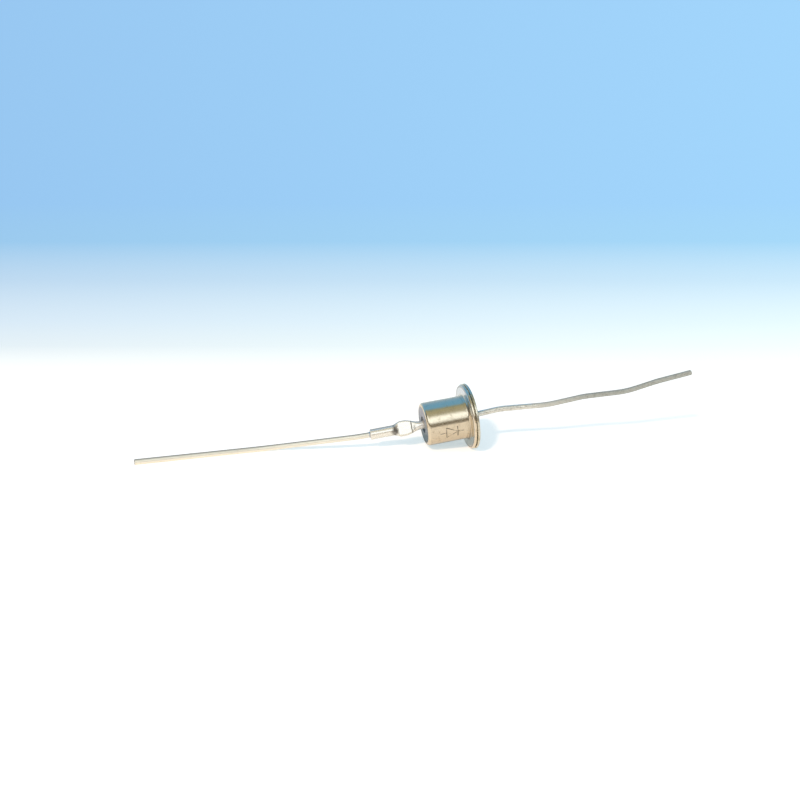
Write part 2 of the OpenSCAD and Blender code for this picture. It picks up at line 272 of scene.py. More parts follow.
# %% [markdown]
# ## Light
#
# A shiny round can is a mirror bent into a cylinder: it shows the whole room as
# bands along its length. So the room matters more than the lamps. Here the world
# is a ramp over the angle from the horizon behind the camera (0), up over the top
# (a half) and down to the horizon behind the diode (1): a dark wall, a bright
# window, a dim ceiling, and then blue sky that gets paler lower down. White cards
# and lamps round the diode would give bands as well, but a ramp is one list that
# can be read and changed. Light that falls on dull surfaces comes from a plain fill
# instead, brightest low in front, and the camera sees only the far blue.
#
# One soft lamp in the window's direction gives the warm side of the light and the
# soft shadow. It isn't mirrored itself, because the painted window already is.

# %% Paint the room as it is mirrored
ROOM_STOPS = [
    (0.0, (0.14, 0.13, 0.10)),
    (0.092, (0.22, 0.20, 0.16)),
    (0.152, (1.35, 1.50, 1.66)),
    (0.275, (1.35, 1.50, 1.66)),
    (0.340, (0.45, 0.46, 0.38)),
    (0.470, (0.42, 0.42, 0.30)),
    (0.525, (0.30, 0.36, 0.27)),
    (0.570, (0.17, 0.46, 0.84)),
    (0.72, (0.18, 0.46, 0.84)),
    (0.86, (0.29, 0.50, 0.76)),
    (1.0, (0.62, 0.74, 0.84))]
SIDE_WALL = (0.10, 0.09, 0.075)
RIGHT_WALL, LEFT_WALL, WALL_TOP = (0.44, 0.62), (-0.80, -0.55), (0.45, 0.55)

world = bpy.data.worlds.new("room")
bpy.context.scene.world = world
world.use_nodes = True
tree = world.node_tree
tree.nodes.clear()
ray = add_node(tree, "ShaderNodeTexCoord").outputs["Generated"]
sideways, forward, height = heading_parts(tree, ray)
climb = maths(tree, "ARCTAN2", height, maths(tree, "MULTIPLY", forward, -1.0))
over_the_top = maths(tree, "DIVIDE", climb, math.pi, clamp=True)
to_right = remap(tree, sideways, *RIGHT_WALL)
to_left = remap(tree, sideways, *LEFT_WALL, 1.0, 0.0)
low_down = remap(tree, over_the_top, *WALL_TOP, 1.0, 0.0)
walls = maths(tree, "MULTIPLY", maths(tree, "ADD", to_right, to_left), low_down)
walled = mix_colours(tree, walls, ramp(tree, over_the_top, ROOM_STOPS), SIDE_WALL)
print("the room has", len(ROOM_STOPS), "stops")

# %% Add the fill and the sky
FRONT_FILL, BACK_FILL = (0.40, 0.47, 0.51), (0.30, 0.36, 0.40)
LOW_FRONT_FILL = (1.0, 1.12, 1.2)
LOW_FRONT = ((0.04, 0.09), (0.24, 0.32))

fill = mix_colours(tree, remap(tree, forward, -1.0, 1.0), FRONT_FILL, BACK_FILL)
fill = mix_colours(tree, band(tree, over_the_top, *LOW_FRONT), fill, LOW_FRONT_FILL)
rays = add_node(tree, "ShaderNodeLightPath").outputs
met = mix_colours(tree, rays["Is Diffuse Ray"], walled, fill)
room = add_node(tree, "ShaderNodeBackground", Color=met, Strength=1.0)
sky_colour = paler_to_right(tree, FAR_BLUE, sideways, forward)
sky = add_node(tree, "ShaderNodeBackground", Color=sky_colour, Strength=1.0)
seen = add_node(tree, "ShaderNodeMixShader", _0=rays["Is Camera Ray"],
                _1=room.outputs[0], _2=sky.outputs[0])
add_node(tree, "ShaderNodeOutputWorld", Surface=seen.outputs[0])
print("world ready")

# %% Hang the window lamp
WINDOW_WAY = Vector((-0.80, -0.92, 1.0)).normalized()
WINDOW_AWAY, WINDOW_SIZE, WINDOW_WATTS = 0.6, 0.05, 2.1
WINDOW_COLOUR = (1.0, 0.68, 0.47)

lamp_data = bpy.data.lights.new("window", "AREA")
lamp_data.shape = "SQUARE"
lamp_data.size = WINDOW_SIZE
lamp_data.energy = WINDOW_WATTS
lamp_data.color = WINDOW_COLOUR
window = bpy.data.objects.new("window", lamp_data)
window.location = WINDOW_WAY * WINDOW_AWAY
window.rotation_mode = "QUATERNION"
window.rotation_quaternion = WINDOW_WAY.to_track_quat("Z", "Y")
window.visible_glossy = False
bpy.context.scene.collection.objects.link(window)
bpy.context.scene.view_settings.view_transform = "Standard"
print("window lamp at", [round(c, 2) for c in window.location])

# %% [markdown]
# ## Where the case lies
#
# The case pieces are round about one axis that rises by 8.8 degrees towards the
# cathode. The header's box touches its round rim at the top and at the far end, and
# the rim's radius is known, so the axis is worked out from that box and not typed
# in a second time.

# %% Find the case's axis
TILT = math.radians(8.8)
HEADER_R, RIM_EDGE, HEADER_BACK = 4.95 * MM, 0.1 * MM, 0.46 * MM

_, header_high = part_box("header")
reach, depth = HEADER_R - RIM_EDGE, HEADER_BACK - RIM_EDGE
axis_height = header_high.z - RIM_EDGE - reach * math.cos(TILT) - depth * math.sin(TILT)
weld_x = header_high.x - RIM_EDGE - reach * math.sin(TILT) - depth * math.cos(TILT)
axis_way = Vector((math.cos(TILT), 0, math.sin(TILT)))
axis_up = Vector((-math.sin(TILT), 0, math.cos(TILT)))
weld_point = Vector((weld_x, 0, axis_height))


def by_axis(along_mm, side_mm=0.0, rise_mm=0.0):
    """A point given along the case's axis from the weld, sideways and above it, in mm."""
    return weld_point + axis_way * along_mm * MM + Vector((0, side_mm * MM, 0)) + axis_up * rise_mm * MM


print("weld centre, mm:", [round(c / MM, 3) for c in weld_point])

# %% [markdown]
# ## Finishes
#
# Every visible piece but the glass is metal that was plated or tinned, and then
# handled. Wear could be painted on a picture and wrapped round each piece. Noise in
# Object coordinates is used here, because it needs no unwrapping and has no seams.
# Two effects are shared, so each is a node group: mottled staining and fine
# scratches. A group gives only masks and heights; the Principled shader stays in
# the material.

# %% Shared effect: mottled stain
FINER, BROAD_SHARE = 7.0, 0.75
SOCKET_KINDS = {"number": "NodeSocketFloat", "vector": "NodeSocketVector"}


def new_group(name, ins, outs):
    """A shader node group. ins holds (name, kind, default), outs holds names of numbers."""
    group = bpy.data.node_groups.new(name, "ShaderNodeTree")
    for socket, kind, value in ins:
        made = group.interface.new_socket(socket, in_out="INPUT", socket_type=SOCKET_KINDS[kind])
        if value is not None:
            made.default_value = value
    for socket in outs:
        group.interface.new_socket(socket, in_out="OUTPUT", socket_type=SOCKET_KINDS["number"])
    return group, group.nodes.new("NodeGroupInput").outputs, group.nodes.new("NodeGroupOutput")


def noise_at(tree, place, scale, detail=4.0, roughness=0.5, distortion=0.0):
    """The Fac of a Noise Texture."""
    return add_node(tree, "ShaderNodeTexNoise", Vector=place, Scale=scale, Detail=detail,
                    Roughness=roughness, Distortion=distortion).outputs["Fac"]


STAIN, given, result = new_group(
    "mottled_stain", [("Place", "vector", None), ("Scale", "number", 600.0), ("Cover", "number", 0.5),
                      ("Softness", "number", 0.13)], ["Mask", "Fine"])
broad = noise_at(STAIN, given["Place"], given["Scale"], detail=5.0, roughness=0.62, distortion=0.4)
fine_scale = maths(STAIN, "MULTIPLY", given["Scale"], FINER)
fine = noise_at(STAIN, given["Place"], fine_scale, detail=3.0, roughness=0.6)
blend_both = maths(STAIN, "ADD", maths(STAIN, "MULTIPLY", broad, BROAD_SHARE),
                   maths(STAIN, "MULTIPLY", fine, 1.0 - BROAD_SHARE))
edge = maths(STAIN, "SUBTRACT", 1.0, given["Cover"])
spread = add_node(STAIN, "ShaderNodeMapRange", {"clamp": True, "interpolation_type": "SMOOTHSTEP"},
                  Value=blend_both, From_Min=maths(STAIN, "SUBTRACT", edge, given["Softness"]),
                  From_Max=maths(STAIN, "ADD", edge, given["Softness"]))
set_input(STAIN, result, "Mask", spread.outputs[0])
set_input(STAIN, result, "Fine", fine)
print("group", STAIN.name)

# %% Shared effect: handling scratches
LAYER_TURNS = [(0.0, 0.0, 0.25), (0.3, 0.5, 1.05), (0.6, 1.0, 2.3)]
LINE_WIDTH, NOISE_MIDDLE = 0.035, 0.5

SCRATCH, given, result = new_group(
    "handling_scratches", [("Place", "vector", None), ("Scale", "number", 300.0),
                           ("Stretch", "number", 14.0)], ["Mask", "Height"])
squeeze = add_node(SCRATCH, "ShaderNodeCombineXYZ", X=1.0, Y=given["Stretch"], Z=given["Stretch"])
layers = []
for layer_turn in LAYER_TURNS:
    turned_place = add_node(SCRATCH, "ShaderNodeMapping", Vector=given["Place"], Rotation=layer_turn)
    scaled = vector_maths(SCRATCH, "MULTIPLY", turned_place.outputs[0], squeeze.outputs[0])
    value = noise_at(SCRATCH, scaled, given["Scale"], detail=2.0, roughness=0.5, distortion=0.15)
    off_line = maths(SCRATCH, "ABSOLUTE", maths(SCRATCH, "SUBTRACT", value, NOISE_MIDDLE))
    layers.append(remap(SCRATCH, off_line, 0.0, LINE_WIDTH, 1.0, 0.0))
worst = maths(SCRATCH, "MAXIMUM", maths(SCRATCH, "MAXIMUM", layers[0], layers[1]), layers[2])
set_input(SCRATCH, result, "Mask", worst)
set_input(SCRATCH, result, "Height", maths(SCRATCH, "MULTIPLY", worst, -1.0))
print("group", SCRATCH.name)

# %% [markdown]
# ## Plated metal
#
# Old tin or nickel plate is a warm, slightly yellow mirror under a haze of fine
# marks. Each piece could have a tree of its own, but only a few numbers would
# differ: the colour of the clean plate and of its stains, how rough it is, and how
# deep its dents and scratches are. So one function builds them all from those
# numbers. A piece whose parts differ, as the cap's flat faces do from its barrel,
# passes a function that changes the colour and roughness there.

# %% Coordinates on the case
CAP_WALL, BARREL_L, BARREL_R = 0.42, 6.45, 3.25
END_FACE_AT = -(CAP_WALL + BARREL_L)
BACK_AT = HEADER_BACK / MM


def case_coordinates(tree, place):
    """Distance along the case's axis from the weld, out from that axis, and above it, all in mm."""
    from_weld = vector_maths(tree, "SUBTRACT", place, weld_point)
    along = share_along(tree, from_weld, axis_way)
    above = share_along(tree, from_weld, axis_up)
    distance = vector_maths(tree, "LENGTH", from_weld, result="Value")
    outward = maths(tree, "SQRT", maths(tree, "SUBTRACT", maths(tree, "MULTIPLY", distance, distance),
                                        maths(tree, "MULTIPLY", along, along)))
    return tuple(maths(tree, "DIVIDE", value, MM) for value in (along, outward, above))


def round_the_case(tree, place, facing):
    """Arc length in mm round the barrel from the line that faces the given elevation, in degrees."""
    from_weld = vector_maths(tree, "SUBTRACT", place, weld_point)
    out = Vector((0, -1, 0)) * math.cos(math.radians(facing)) + axis_up * math.sin(math.radians(facing))
    outward, aside = (share_along(tree, from_weld, way) for way in (out, axis_way.cross(out)))
    return maths(tree, "MULTIPLY", maths(tree, "ARCTAN2", aside, outward), BARREL_R)


print("the end face is", round(END_FACE_AT, 2), "mm along the axis from the weld")

# %% Build a plated metal
SCRATCH_SCALE, SCRATCH_ROUGH = 260.0, 0.12
FINE_SHADE, FINE_MASK = 0.82, (0.3, 0.7, 0.0, 0.35)
RIPPLE_NOISE, SPECKLE_NOISE = (1900.0, 2.0, 0.5), (4200.0, 3.0, 0.6)


def plated_metal(name, clean, stained, cover, rough=(0.22, 0.42), grain=1600.0, dent=0.004,
                 dent_scale=420.0, ripple=0.0, scratch=0.0012, speckle=0.0, metallic=1.0, change=None):
    """A worn, plated metal. Depths are in millimetres, scales are per metre."""
    material, tree = new_material(name)
    place = add_node(tree, "ShaderNodeTexCoord").outputs["Object"]
    stain = add_node(tree, "ShaderNodeGroup", {"node_tree": STAIN}, Place=place, Scale=grain, Cover=cover)
    marks = add_node(tree, "ShaderNodeGroup", {"node_tree": SCRATCH}, Place=place, Scale=SCRATCH_SCALE)
    hue = mix_colours(tree, stain.outputs["Mask"], clean, stained)
    hue = mix_colours(tree, remap(tree, stain.outputs["Fine"], *FINE_MASK),
                      hue, tuple(FINE_SHADE * c for c in clean))
    roughness = maths(tree, "ADD", remap(tree, stain.outputs["Mask"], 0.0, 1.0, *rough),
                      maths(tree, "MULTIPLY", marks.outputs["Mask"], SCRATCH_ROUGH))
    if change:
        hue, roughness = change(tree, place, hue, roughness)
    height = maths(tree, "MULTIPLY", noise_at(tree, place, dent_scale, detail=3.0), dent * MM)
    height = maths(tree, "ADD", height, maths(tree, "MULTIPLY", marks.outputs["Height"], scratch * MM))
    for deep, texture in ((ripple, RIPPLE_NOISE), (speckle, SPECKLE_NOISE)):
        if deep:
            grit = maths(tree, "MULTIPLY", noise_at(tree, place, *texture), deep * MM)
            height = maths(tree, "ADD", height, grit)
    bump = add_node(tree, "ShaderNodeBump", Strength=1.0, Distance=1.0, Height=height)
    metal = add_node(tree, "ShaderNodeBsdfPrincipled", Base_Color=hue, Metallic=metallic,
                     Roughness=roughness, Normal=bump.outputs[0])
    add_node(tree, "ShaderNodeOutputMaterial", Surface=metal.outputs[0])
    return material


def dress(name, material):
    """Puts a material in all slots of a construction node."""
    mesh = nodes[name].data
    if not mesh.materials:
        mesh.materials.append(material)
    for index in range(len(mesh.materials)):
        mesh.materials[index] = material


print("plated_metal and dress ready")

# %% [markdown]
# ### The case
#
# The barrel was burnished by the drawing die and has aged to a straw colour. The
# flat faces were never rubbed, so they stay grey, and the end face round the glass
# is the dullest. Shade is painted on the barrel's underside, on the end face's lower
# part, in the end's corner and in the flange's fillet. Reflections are painted on the
# flange's face, warm below and grey-blue above, and a dark ring is painted near the
# flange's rim. On the barrel there is a small printed diode symbol, a triangle and a
# bar that point to the cathode, half worn away: a thin film of dark ink, so it is a
# mask and not a shape. Masks measure along the axis, out from it and above it, in
# millimetres. A pair of numbers is the range over which a mask fades in, or out.
# Where four are given, the last two are its values at the ends of the range.

# %% Print the diode symbol
MARK_AT, MARK_FACING = -3.3, -12.0
MARK_HALF, MARK_LINE, MARK_SLOPE = 0.85, 0.10, 0.5
SLANT_PEN, THIN_PEN, BAR_PEN = MARK_LINE * 0.7, MARK_LINE * 0.6, MARK_LINE * 0.8
TAIL_REACH = 2.1 * MARK_HALF
PRINT_WORN, INK_SHARE = (0.34, 0.50), 0.85


def within(tree, value, limit):
    """1 where a value is nearer to zero than the limit, and 0 elsewhere."""
    return maths(tree, "LESS_THAN", maths(tree, "ABSOLUTE", value), limit)


def diode_symbol(tree, along, arc):
    """Mask of a triangle that points along the axis to a bar, on a line, in mm."""
    run = maths(tree, "SUBTRACT", along, MARK_AT)
    inside, tall = within(tree, run, MARK_HALF), within(tree, arc, MARK_HALF)
    narrowing = maths(tree, "MULTIPLY", maths(tree, "SUBTRACT", MARK_HALF, run), MARK_SLOPE)
    off_side = maths(tree, "SUBTRACT", maths(tree, "ABSOLUTE", arc), narrowing)
    sides = maths(tree, "MULTIPLY", within(tree, off_side, SLANT_PEN), inside)
    base = maths(tree, "MULTIPLY", within(tree, maths(tree, "ADD", run, MARK_HALF), THIN_PEN), tall)
    bar = maths(tree, "MULTIPLY", within(tree, maths(tree, "SUBTRACT", run, MARK_HALF), BAR_PEN), tall)
    beyond = maths(tree, "SUBTRACT", within(tree, run, TAIL_REACH), inside)
    tails = maths(tree, "MULTIPLY", within(tree, arc, THIN_PEN), beyond)
    return maths(tree, "MAXIMUM", maths(tree, "MAXIMUM", sides, base), maths(tree, "MAXIMUM", bar, tails))


def worn_ink(tree, place, along):
    """The symbol where its ink is still on the metal."""
    left = remap(tree, noise_at(tree, place, scale=2600.0, detail=3.0, roughness=0.6), *PRINT_WORN)
    symbol = diode_symbol(tree, along, round_the_case(tree, place, MARK_FACING))
    return maths(tree, "MULTIPLY", symbol, maths(tree, "MULTIPLY", left, INK_SHARE))


print("the symbol is", 2 * MARK_HALF, "mm long, on the side that faces", MARK_FACING, "degrees")

# %% Find the cap's faces and corners
NEAR_END = (END_FACE_AT + 0.12, END_FACE_AT + 0.35)
END_RIM = (2.62, 2.80)
FLANGE_OUT = (BARREL_R + 0.12, BARREL_R + 0.35)
FLANGE_FRONT = (-CAP_WALL + 0.02, -CAP_WALL + 0.10)
# Painted shade in the end's corner and the flange's fillet, and a dark ring painted near the flange's rim.
CORNER_OUT = ((2.48, 2.66), (2.74, 2.92))
FILLET_OUT = ((BARREL_R - 0.02, BARREL_R + 0.03), (BARREL_R + 0.10, BARREL_R + 0.24))
ROLL_OUT, ROLL_DARKNESS = ((4.42, 4.56), (4.64, 4.78)), 0.6
CORNER_SHADE, FILLET_SHADE = (1.9, -1.0, 0.25, 0.95), (1.0, -2.4, 0.15, 0.75)


def cap_faces(tree, along, outward):
    """Masks of the end face and of the flange's front."""
    near_end = remap(tree, along, *NEAR_END, 1.0, 0.0)
    end_face = maths(tree, "MULTIPLY", near_end, remap(tree, outward, *END_RIM, 1.0, 0.0))
    flange_face = maths(tree, "MULTIPLY", remap(tree, outward, *FLANGE_OUT),
                        remap(tree, along, *FLANGE_FRONT, 1.0, 0.0))
    return end_face, flange_face


def painted_shade_and_ring(tree, along, outward, above):
    """Painted shade in the end's corner and the flange's fillet, deeper towards the bottom, and a painted
    dark ring near the flange's rim.
    """
    near_end = remap(tree, along, *NEAR_END, 1.0, 0.0)
    corner = maths(tree, "MULTIPLY", near_end, band(tree, outward, *CORNER_OUT))
    corner = maths(tree, "MULTIPLY", corner, remap(tree, above, *CORNER_SHADE))
    fillet = maths(tree, "MULTIPLY", band(tree, outward, *FILLET_OUT), remap(tree, above, *FILLET_SHADE))
    roll_line = band(tree, outward, *ROLL_OUT, ROLL_DARKNESS)
    return maths(tree, "MAXIMUM", maths(tree, "MAXIMUM", corner, fillet), roll_line)


print("the flange's front starts", BARREL_R, "mm from the axis")

# %% Dress the case's cap
# Painted shade: the barrel's underside is greyed where it faces the shaded floor.
ON_BARREL, UNDERSIDE_SHADE_RANGE = (BARREL_R + 0.05, BARREL_R + 0.30), (-2.35, -2.95, 0.0, 0.8)
PAINTED_UNDERSIDE_GREY, PAINTED_DARK_BROWN, INK = (0.33, 0.37, 0.34), (0.13, 0.11, 0.08), (0.10, 0.085, 0.06)
# Painted reflections: the flange's face is warm below and grey-blue above.
FLANGE_REFLECTION_RISE, FLANGE_LOW_REFLECTION, FLANGE_HIGH_REFLECTION = (0.5, 3.0), (0.86, 0.82, 0.73), (0.74, 0.79, 0.80)
END_STOPS = [(0.3, (0.36, 0.36, 0.38)), (0.7, (0.56, 0.55, 0.57))]
# Painted shade: the end face turns darker and bluer towards its bottom.
END_SHADE_SINK, END_SHADE_BLUE = (1.4, -1.6), (0.19, 0.245, 0.265)
DULLER = 0.25


def cap_parts(tree, place, colour, roughness):
    """Greys the flat faces, paints shade low down and reflections on the flange's face, and prints the mark.
    """
    along, outward, above = case_coordinates(tree, place)
    end_face, flange_face = cap_faces(tree, along, outward)
    ink = worn_ink(tree, place, along)
    dull = noise_at(tree, place, scale=1500.0, detail=4.0, roughness=0.6)
    # The end face's own dull grey, with painted shade towards its bottom.
    end_colour = mix_colours(tree, remap(tree, above, *END_SHADE_SINK), ramp(tree, dull, END_STOPS), END_SHADE_BLUE)
    # Painted reflections on the flange's face.
    flange_reflection_colour = mix_colours(tree, remap(tree, above, *FLANGE_REFLECTION_RISE), FLANGE_LOW_REFLECTION, FLANGE_HIGH_REFLECTION)
    # Painted shade along the barrel's underside.
    underside = maths(tree, "MULTIPLY", remap(tree, above, *UNDERSIDE_SHADE_RANGE),
                      remap(tree, outward, *ON_BARREL, 1.0, 0.0))
    # Over the plate: painted shade, the end's grey with painted shade, painted reflections, painted shade
    # with the dark ring, and the ink.
    layers = [(underside, PAINTED_UNDERSIDE_GREY), (end_face, end_colour), (flange_face, flange_reflection_colour),
              (painted_shade_and_ring(tree, along, outward, above), PAINTED_DARK_BROWN), (ink, INK)]
    for mask, over in layers:
        colour = mix_colours(tree, mask, colour, over)
    dulled = maths(tree, "MULTIPLY", maths(tree, "MAXIMUM", end_face, ink), DULLER)
    return colour, maths(tree, "ADD", roughness, dulled)


case_plating = plated_metal("case_plating", (0.88, 0.74, 0.535), (0.60, 0.48, 0.31), cover=0.38,
                            rough=(0.15, 0.30), grain=1500.0, dent=0.006, dent_scale=520.0,
                            ripple=0.0016, scratch=0.0010, change=cap_parts)
dress("cap", case_plating)
print("cap dressed in", case_plating.name)

# %% Dress the header
ON_BACK, BACK_RIM = (BACK_AT - 0.07, BACK_AT - 0.03), (4.55, 4.85)
TINNED_STOPS = [(0.34, (0.54, 0.50, 0.41)), (0.5, (0.70, 0.67, 0.58)), (0.68, (0.78, 0.76, 0.69))]
WETTED, WETTED_TIN, WETTED_RAGGED = (1.8, 2.3, 0.75, 0.0), (0.84, 0.82, 0.75), 1.2
BACK_ROUGH = (0.3, 0.7, 0.10, 0.0)


def header_parts(tree, place, colour, roughness):
    """The header's back was tinned by the dip: greyer, less stained, with a bright ring at the weld."""
    along, outward, _ = case_coordinates(tree, place)
    back = maths(tree, "MULTIPLY", remap(tree, along, *ON_BACK), remap(tree, outward, *BACK_RIM, 1.0, 0.0))
    cloud = noise_at(tree, place, scale=420.0, detail=5.0, roughness=0.62, distortion=0.6)
    ragged = maths(tree, "MULTIPLY", noise_at(tree, place, scale=900.0, detail=3.0), WETTED_RAGGED)
    wetted = remap(tree, maths(tree, "ADD", outward, ragged), *WETTED)
    tinned = mix_colours(tree, wetted, ramp(tree, cloud, TINNED_STOPS), WETTED_TIN)
    rougher = maths(tree, "MULTIPLY", back, remap(tree, cloud, *BACK_ROUGH))
    return mix_colours(tree, back, colour, tinned), maths(tree, "ADD", roughness, rougher)


header_plating = plated_metal("header_plating", (0.82, 0.75, 0.58), (0.46, 0.39, 0.25), cover=0.46,
                              rough=(0.2, 0.34), grain=1700.0, change=header_parts)
dress("header", header_plating)
print("header dressed in", header_plating.name)

# %% [markdown]
# ### Tube and leads
#
# The tube and its lead were dipped in solder, so they are a pale cream metal, rough
# enough to blur what they mirror. The cathode lead is the same wire gone dull. On all
# three, shade is painted darker and browner on the side that faces up and back. That
# is read from the direction of the surface, so it follows every bend by itself. The
# cut ends show bare metal. Shade is painted into the creases at both ends of the
# tube's pinch, and a highlight on its neck.

# %% Paint shade on the wires' tops and bare metal at their cuts
# Painted shade: darker and browner on the side of a wire that faces up and back.
TOP_SHADE_BROWN, TOP_SHADE_WAY, TOP_SHADE_FADE = (0.50, 0.39, 0.27), (0.0, 0.42, 0.91), 0.3
CUT_METAL, CUT_FROM, CUT_TO = (0.30, 0.28, 0.24), 41.38 * MM, 41.46 * MM
NEAR_WELD, DIPPED_BRIGHT = (8.0, 19.0, 0.75, 0.0), (0.86, 0.83, 0.72)


def painted_top_shade(tree, colour, start, most):
    """Paints shade, darker and browner, on the side that faces up and back."""
    facing = add_node(tree, "ShaderNodeTexCoord").outputs["Normal"]
    upward = share_along(tree, facing, TOP_SHADE_WAY)
    return mix_colours(tree, remap(tree, upward, start, start + TOP_SHADE_FADE, 0.0, most), colour, TOP_SHADE_BROWN)


def cut_tips(tree, place, colour):
    """Darkens the two cut ends, where the tinning doesn't cover the wire."""
    from_middle = maths(tree, "ABSOLUTE", add_node(tree, "ShaderNodeSeparateXYZ", Vector=place).outputs["X"])
    return mix_colours(tree, remap(tree, from_middle, CUT_FROM, CUT_TO), colour, CUT_METAL)


def anode_lead_parts(tree, place, colour, roughness):
    """Painted shade on top, bare metal at the cut."""
    return cut_tips(tree, place, painted_top_shade(tree, colour, start=0.48, most=0.9)), roughness


def cathode_lead_parts(tree, place, colour, roughness):
    """Keeps the cathode lead bright next to the header; further out it has gone grey."""
    along, _, _ = case_coordinates(tree, place)
    colour = mix_colours(tree, remap(tree, along, *NEAR_WELD), colour, DIPPED_BRIGHT)
    return cut_tips(tree, place, painted_top_shade(tree, colour, start=0.6, most=0.5)), roughness


print("bare metal shows past", CUT_FROM / MM, "mm")

# %% Paint shade into the creases of the tube
# Painted shade in the creases: from and to along the tube from the end face, height to each side, and
# darkness.
CREASES = [(3.85, 5.05, 1.0, 0.85), (1.72, 1.98, 2.6, 0.75), (1.20, 1.70, 0.5, 0.5)]
CREASE_EDGE, CREASE_SHADE = (0.55, 1.25), (0.16, 0.15, 0.13)
RAGGED, RAGGED_MIDDLE = 0.35, 0.17
# Painted highlight: the neck is lightened where it faces the window.
NECK_HIGHLIGHT_RANGE, NECK_HIGHLIGHT_CREAM = (1.3, 0.9, 0.0, 0.8), (0.98, 0.96, 0.88)


def tube_parts(tree, place, colour, roughness):
    """Paints shade into the creases at both ends of the pinch, and a highlight on the neck."""
    along, _, above = case_coordinates(tree, place)
    ragged = maths(tree, "MULTIPLY", noise_at(tree, place, scale=1800.0, detail=3.0), RAGGED)
    from_end = maths(tree, "SUBTRACT", END_FACE_AT + RAGGED_MIDDLE, maths(tree, "ADD", along, ragged))
    off_middle = maths(tree, "ABSOLUTE", above)
    creases = 0.0
    for start, stop, tall, darkness in CREASES:
        middle, half = (start + stop) / 2, (stop - start) / 2
        off_crease = maths(tree, "ABSOLUTE", maths(tree, "SUBTRACT", from_end, middle))
        away = maths(tree, "ADD", maths(tree, "DIVIDE", off_crease, half),
                     maths(tree, "DIVIDE", off_middle, tall))
        crease = remap(tree, away, *CREASE_EDGE, darkness, 0.0)
        creases = maths(tree, "MAXIMUM", creases, crease)
    # A painted highlight on the neck.
    colour = mix_colours(tree, remap(tree, from_end, *NECK_HIGHLIGHT_RANGE), colour, NECK_HIGHLIGHT_CREAM)
    colour = painted_top_shade(tree, colour, start=0.62, most=0.9)
    return mix_colours(tree, creases, colour, CREASE_SHADE), roughness


print("the tube has", len(CREASES), "creases")

# %% Dress tube and leads
tube_tinning = plated_metal("tube_tinning", (0.94, 0.90, 0.78), (0.84, 0.79, 0.67), cover=0.30,
                            rough=(0.22, 0.32), grain=1900.0, dent=0.005, dent_scale=900.0,
                            metallic=0.66, change=tube_parts)
lead_tinning = plated_metal("lead_tinning", (0.97, 0.92, 0.77), (0.84, 0.78, 0.62), cover=0.35,
                            rough=(0.36, 0.46), grain=1900.0, dent=0.005, dent_scale=1100.0,
                            metallic=0.7, change=anode_lead_parts)
dull_lead = plated_metal("dull_lead", (0.51, 0.52, 0.46), (0.33, 0.33, 0.28), cover=0.42,
                         rough=(0.42, 0.55), grain=2200.0, dent=0.008, dent_scale=1300.0,
                         speckle=0.004, metallic=0.55, change=cathode_lead_parts)
dress("anode_tube", tube_tinning)
dress("anode_lead", lead_tinning)
dress("cathode_lead", dull_lead)
print("tube and leads dressed")

# %% [markdown]
# ### Glass and the parts inside
#
# The bead of glass was fused at red heat: it is dark, hard and glossy, with tiny
# bubbles that make it faintly uneven. Nothing shows through it, so it is an opaque
# gloss and not a clear glass, which would take much longer to render. The sealed
# parts inside get plain metals, and the pellet the dark grey of etched silicon.
# They only show when the cap is taken away.

# %% Dress the inner metals
solder_grey = plated_metal("solder_grey", (0.66, 0.65, 0.62), (0.42, 0.41, 0.39), cover=0.4,
                           rough=(0.28, 0.45), grain=2200.0)
inner_metal = plated_metal("inner_metal", (0.56, 0.55, 0.54), (0.38, 0.37, 0.36), cover=0.4)
inner_copper = plated_metal("inner_copper", (0.86, 0.52, 0.36), (0.50, 0.28, 0.18), cover=0.4)

for name in ("socket_solder", "contact_solder", "upper_solder", "lower_solder", "base_solder"):
    dress(name, solder_grey)
for name in ("upper_plate", "lower_plate"):
    dress(name, inner_metal)
dress("inner_lead", inner_copper)
print("materials so far:", [material.name for material in bpy.data.materials])

# %% Dress glass and silicon
GLASS_STOPS = [(0.3, (0.10, 0.12, 0.13)), (0.7, (0.20, 0.22, 0.23))]
GLASS_DENT = 0.002
SILICON_STOPS = [(0.35, (0.10, 0.11, 0.14)), (0.65, (0.17, 0.18, 0.21))]

seal_glass, tree = new_material("seal_glass")
place = add_node(tree, "ShaderNodeTexCoord").outputs["Object"]
bubbles = noise_at(tree, place, scale=2500.0, detail=2.0)
dents = maths(tree, "MULTIPLY", bubbles, GLASS_DENT * MM)
uneven = add_node(tree, "ShaderNodeBump", Distance=1.0, Height=dents)
glass = add_node(tree, "ShaderNodeBsdfPrincipled", Base_Color=ramp(tree, bubbles, GLASS_STOPS),
                 Roughness=0.08, IOR=1.5, Normal=uneven.outputs[0])
add_node(tree, "ShaderNodeOutputMaterial", Surface=glass.outputs[0])
dress("glass_seal", seal_glass)

silicon, tree = new_material("silicon")
place = add_node(tree, "ShaderNodeTexCoord").outputs["Object"]
etched = ramp(tree, noise_at(tree, place, scale=5000.0), SILICON_STOPS)
chip = add_node(tree, "ShaderNodeBsdfPrincipled", Base_Color=etched, Metallic=0.6, Roughness=0.3)
add_node(tree, "ShaderNodeOutputMaterial", Surface=chip.outputs[0])
dress("silicon_pellet", silicon)
print("glass and silicon ready")

# %% [markdown]
# ## Solder on the cathode lead
#
# The wire next to the header was dipped in solder after welding. The coat is a few
# hundredths of a millimetre thick, lumpy, and runs out in a ragged edge. Bump in the
# lead's material would leave its outline smooth, so the coat is a shape. It follows
# the wire: Geometry Nodes sweep a circle along the wire's own route and push the
# skin in and out with noise. Where the skin dips below the wire's surface it
# vanishes, which makes the ragged edge.

